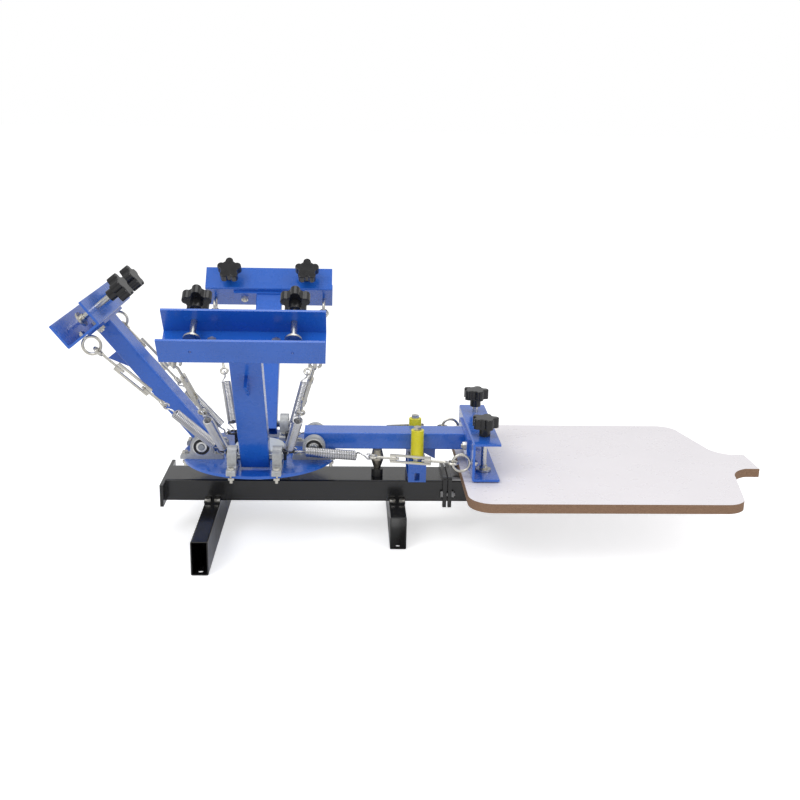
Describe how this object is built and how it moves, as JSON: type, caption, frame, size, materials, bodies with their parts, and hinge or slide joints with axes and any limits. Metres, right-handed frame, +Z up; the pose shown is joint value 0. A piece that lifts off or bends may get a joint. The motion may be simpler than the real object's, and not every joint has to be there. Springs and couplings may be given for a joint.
{
  "type": "tabletop screen printing press",
  "caption": "Bench screen printing press: a turntable with hinged spring-balanced arms and frame clamps on a tube base, with a flat printing board.",
  "frame": {"origin": "middle of the left foot's lower face", "axes": "+X along the beam towards the board, +Y away from the front, +Z up"},
  "size_m": [1.2401, 0.6389, 0.4801],
  "materials": {
    "blue_paint": "gloss",
    "black_paint": "gloss",
    "grey_paint": "satin",
    "cast_grey": "satin",
    "zinc_steel": "satin",
    "grey_steel": "satin",
    "spring_steel": "satin",
    "shaft_steel": "satin",
    "bearing_steel": "satin",
    "black_plastic": "gloss",
    "yellow_plastic": "gloss",
    "white_board": "satin"
  },
  "bodies": {
    "base": {"base_beam": "black_paint", "foot_left": "black_paint", "foot_right": "black_paint", "foot_bolts": "zinc_steel", "pivot_post": "shaft_steel", "gate_bracket": "blue_paint", "gate_bolts": "zinc_steel", "arm_stop": "zinc_steel", "pallet_board": "white_board", "pallet_support": "grey_steel", "support_forks": "black_paint", "support_bolts": "zinc_steel"},
    "roller_near": {"guide_roller_near": "yellow_plastic"},
    "roller_far": {"guide_roller_far": "yellow_plastic"},
    "turntable": {"turntable_disc": "blue_paint", "turntable_hub": "grey_paint", "pillow_blocks": "cast_grey", "block_bearings": "bearing_steel", "block_bolts": "zinc_steel", "spring_anchors": "black_paint"},
    "arm_right": {"arm_right": "blue_paint", "head_right": "blue_paint", "head_hardware_right": "zinc_steel", "pivot_shaft_right": "shaft_steel"},
    "springs_right": {"springs_right": "spring_steel"},
    "turnbuckles_right": {"turnbuckles_right": "zinc_steel"},
    "clamp_pad_right_1": {"clamp_pad_right_1": "zinc_steel"},
    "clamp_knob_right_1": {"clamp_knob_right_1": "black_plastic"},
    "clamp_pad_right_2": {"clamp_pad_right_2": "zinc_steel"},
    "clamp_knob_right_2": {"clamp_knob_right_2": "black_plastic"},
    "arm_far": {"arm_far": "blue_paint", "head_far": "blue_paint", "head_hardware_far": "zinc_steel", "pivot_shaft_far": "shaft_steel"},
    "springs_far": {"springs_far": "spring_steel"},
    "turnbuckles_far": {"turnbuckles_far": "zinc_steel"},
    "clamp_pad_far_1": {"clamp_pad_far_1": "zinc_steel"},
    "clamp_knob_far_1": {"clamp_knob_far_1": "black_plastic"},
    "clamp_pad_far_2": {"clamp_pad_far_2": "zinc_steel"},
    "clamp_knob_far_2": {"clamp_knob_far_2": "black_plastic"},
    "arm_left": {"arm_left": "blue_paint", "head_left": "blue_paint", "head_hardware_left": "zinc_steel", "pivot_shaft_left": "shaft_steel"},
    "springs_left": {"springs_left": "spring_steel"},
    "turnbuckles_left": {"turnbuckles_left": "zinc_steel"},
    "clamp_pad_left_1": {"clamp_pad_left_1": "zinc_steel"},
    "clamp_knob_left_1": {"clamp_knob_left_1": "black_plastic"},
    "clamp_pad_left_2": {"clamp_pad_left_2": "zinc_steel"},
    "clamp_knob_left_2": {"clamp_knob_left_2": "black_plastic"},
    "arm_near": {"arm_near": "blue_paint", "head_near": "blue_paint", "head_hardware_near": "zinc_steel", "pivot_shaft_near": "shaft_steel"},
    "springs_near": {"springs_near": "spring_steel"},
    "turnbuckles_near": {"turnbuckles_near": "zinc_steel"},
    "clamp_pad_near_1": {"clamp_pad_near_1": "zinc_steel"},
    "clamp_knob_near_1": {"clamp_knob_near_1": "black_plastic"},
    "clamp_pad_near_2": {"clamp_pad_near_2": "zinc_steel"},
    "clamp_knob_near_2": {"clamp_knob_near_2": "black_plastic"}
  },
  "joints": [
    {"name": "turntable_spin", "type": "hinge", "parent": "base", "child": "turntable", "pos_m": [0.082, 0, 0.141], "axis": [0, 0, 1], "continuous": true},
    {"name": "roller_near_spin", "type": "hinge", "parent": "base", "child": "roller_near", "pos_m": [0.3655, -0.037, 0.164], "axis": [0, 0, 1], "continuous": true},
    {"name": "roller_far_spin", "type": "hinge", "parent": "base", "child": "roller_far", "pos_m": [0.3655, 0.037, 0.164], "axis": [0, 0, 1], "continuous": true},
    {"name": "arm_right_lift", "type": "hinge", "parent": "turntable", "child": "arm_right", "pos_m": [0.181, 0, 0.1635], "axis": [0, -1, 0], "range_deg": [0, 51]},
    {"name": "springs_right_swing", "type": "hinge", "parent": "turntable", "child": "springs_right", "pos_m": [0.146, 0, 0.16], "axis": [0, -1, 0], "range_deg": [-0.5, 45.62]},
    {"name": "turnbuckles_right_draw", "type": "slide", "parent": "springs_right", "child": "turnbuckles_right", "axis": [1, 0, -0.0086], "range_m": [-0.00705, 0.0005], "deforming": ["springs_right"]},
    {"name": "clamp_pad_right_1_travel", "type": "slide", "parent": "arm_right", "child": "clamp_pad_right_1", "axis": [0, 0, 1], "range_m": [0, 0.0396]},
    {"name": "clamp_knob_right_1_turn", "type": "hinge", "parent": "clamp_pad_right_1", "child": "clamp_knob_right_1", "pos_m": [0.481, -0.076, 0.1982], "axis": [0, 0, 1], "range_deg": [0, 9480]},
    {"name": "clamp_pad_right_2_travel", "type": "slide", "parent": "arm_right", "child": "clamp_pad_right_2", "axis": [0, 0, 1], "range_m": [-0.0106, 0.0291]},
    {"name": "clamp_knob_right_2_turn", "type": "hinge", "parent": "clamp_pad_right_2", "child": "clamp_knob_right_2", "pos_m": [0.481, 0.076, 0.2087], "axis": [0, 0, 1], "range_deg": [-2520, 6960]},
    {"name": "arm_far_lift", "type": "hinge", "parent": "turntable", "child": "arm_far", "pos_m": [0.082, 0.099, 0.1635], "axis": [1, 0, 0], "range_deg": [-50.6, 0], "stiffness_Nm_per_rad": 3, "springref_deg": 108.86},
    {"name": "springs_far_swing", "type": "hinge", "parent": "turntable", "child": "springs_far", "pos_m": [0.082, 0.064, 0.16], "axis": [1, 0, 0], "range_deg": [-45.44, 0.5]},
    {"name": "turnbuckles_far_draw", "type": "slide", "parent": "springs_far", "child": "turnbuckles_far", "axis": [0, 0.715, 0.6992], "range_m": [-0.0005, 0.01087], "deforming": ["springs_far"]},
    {"name": "clamp_pad_far_1_travel", "type": "slide", "parent": "arm_far", "child": "clamp_pad_far_1", "axis": [0, -0.7727, 0.6347], "range_m": [-0.0036, 0.0361]},
    {"name": "clamp_knob_far_1_turn", "type": "hinge", "parent": "clamp_pad_far_1", "child": "clamp_knob_far_1", "pos_m": [0.158, 0.2599, 0.41957], "axis": [0, -0.7727, 0.6347], "range_deg": [-840, 8640]},
    {"name": "clamp_pad_far_2_travel", "type": "slide", "parent": "arm_far", "child": "clamp_pad_far_2", "axis": [0, -0.7727, 0.6347], "range_m": [-0.0036, 0.0361]},
    {"name": "clamp_knob_far_2_turn", "type": "hinge", "parent": "clamp_pad_far_2", "child": "clamp_knob_far_2", "pos_m": [0.006, 0.2599, 0.41957], "axis": [0, -0.7727, 0.6347], "range_deg": [-840, 8640]},
    {"name": "arm_left_lift", "type": "hinge", "parent": "turntable", "child": "arm_left", "pos_m": [-0.017, 0, 0.1635], "axis": [0, 1, 0], "range_deg": [-51, 0], "stiffness_Nm_per_rad": 3, "springref_deg": 108.86},
    {"name": "springs_left_swing", "type": "hinge", "parent": "turntable", "child": "springs_left", "pos_m": [0.018, 0, 0.16], "axis": [0, 1, 0], "range_deg": [-45.8, 0.5]},
    {"name": "turnbuckles_left_draw", "type": "slide", "parent": "springs_left", "child": "turnbuckles_left", "axis": [-0.7105, 0, 0.7037], "range_m": [-0.0005, 0.01105], "deforming": ["springs_left"]},
    {"name": "clamp_pad_left_1_travel", "type": "slide", "parent": "arm_left", "child": "clamp_pad_left_1", "axis": [0.7771, 0, 0.6293], "range_m": [-0.0136, 0.0261]},
    {"name": "clamp_knob_left_1_turn", "type": "hinge", "parent": "clamp_pad_left_1", "child": "clamp_knob_left_1", "pos_m": [-0.16834, 0.076, 0.42698], "axis": [0.7771, 0, 0.6293], "range_deg": [-3240, 6240]},
    {"name": "clamp_pad_left_2_travel", "type": "slide", "parent": "arm_left", "child": "clamp_pad_left_2", "axis": [0.7771, 0, 0.6293], "range_m": [-0.0281, 0.0116]},
    {"name": "clamp_knob_left_2_turn", "type": "hinge", "parent": "clamp_pad_left_2", "child": "clamp_knob_left_2", "pos_m": [-0.15707, -0.076, 0.4361], "axis": [0.7771, 0, 0.6293], "range_deg": [-6720, 2760]},
    {"name": "arm_near_lift", "type": "hinge", "parent": "turntable", "child": "arm_near", "pos_m": [0.082, -0.099, 0.1635], "axis": [-1, 0, 0], "range_deg": [-56, 0], "stiffness_Nm_per_rad": 3, "springref_deg": 108.86},
    {"name": "springs_near_swing", "type": "hinge", "parent": "turntable", "child": "springs_near", "pos_m": [0.082, -0.064, 0.16], "axis": [-1, 0, 0], "range_deg": [-50.39, 0.5]},
    {"name": "turnbuckles_near_draw", "type": "slide", "parent": "springs_near", "child": "turnbuckles_near", "axis": [0, -0.6527, 0.7576], "range_m": [-0.0005, 0.01345], "deforming": ["springs_near"]},
    {"name": "clamp_pad_near_1_travel", "type": "slide", "parent": "arm_near", "child": "clamp_pad_near_1", "axis": [0, 0.829, 0.5592], "range_m": [-0.0196, 0.0201]},
    {"name": "clamp_knob_near_1_turn", "type": "hinge", "parent": "clamp_pad_near_1", "child": "clamp_knob_near_1", "pos_m": [0.006, -0.22182, 0.44252], "axis": [0, 0.829, 0.5592], "range_deg": [-4680, 4800]},
    {"name": "clamp_pad_near_2_travel", "type": "slide", "parent": "arm_near", "child": "clamp_pad_near_2", "axis": [0, 0.829, 0.5592], "range_m": [-0.0196, 0.0201]},
    {"name": "clamp_knob_near_2_turn", "type": "hinge", "parent": "clamp_pad_near_2", "child": "clamp_knob_near_2", "pos_m": [0.158, -0.22182, 0.44252], "axis": [0, 0.829, 0.5592], "range_deg": [-4680, 4800]}
  ],
  "couplings": [
    {"joint": "springs_right_swing", "follows": "arm_right_lift", "ratio": 0.88474},
    {"joint": "turnbuckles_right_draw", "follows": "arm_right_lift", "m_per_rad": -0.0073606},
    {"joint": "clamp_pad_right_1_travel", "follows": "clamp_knob_right_1_turn", "m_per_rad": 0.00023873},
    {"joint": "clamp_pad_right_2_travel", "follows": "clamp_knob_right_2_turn", "m_per_rad": 0.00023873},
    {"joint": "springs_far_swing", "follows": "arm_far_lift", "ratio": 0.88815},
    {"joint": "turnbuckles_far_draw", "follows": "arm_far_lift", "m_per_rad": -0.011742},
    {"joint": "clamp_pad_far_1_travel", "follows": "clamp_knob_far_1_turn", "m_per_rad": 0.00023873},
    {"joint": "clamp_pad_far_2_travel", "follows": "clamp_knob_far_2_turn", "m_per_rad": 0.00023873},
    {"joint": "springs_left_swing", "follows": "arm_left_lift", "ratio": 0.88829},
    {"joint": "turnbuckles_left_draw", "follows": "arm_left_lift", "m_per_rad": -0.011854},
    {"joint": "clamp_pad_left_1_travel", "follows": "clamp_knob_left_1_turn", "m_per_rad": 0.00023873},
    {"joint": "clamp_pad_left_2_travel", "follows": "clamp_knob_left_2_turn", "m_per_rad": 0.00023873},
    {"joint": "springs_near_swing", "follows": "arm_near_lift", "ratio": 0.89096},
    {"joint": "turnbuckles_near_draw", "follows": "arm_near_lift", "m_per_rad": -0.01325},
    {"joint": "clamp_pad_near_1_travel", "follows": "clamp_knob_near_1_turn", "m_per_rad": 0.00023873},
    {"joint": "clamp_pad_near_2_travel", "follows": "clamp_knob_near_2_turn", "m_per_rad": 0.00023873}
  ]
}
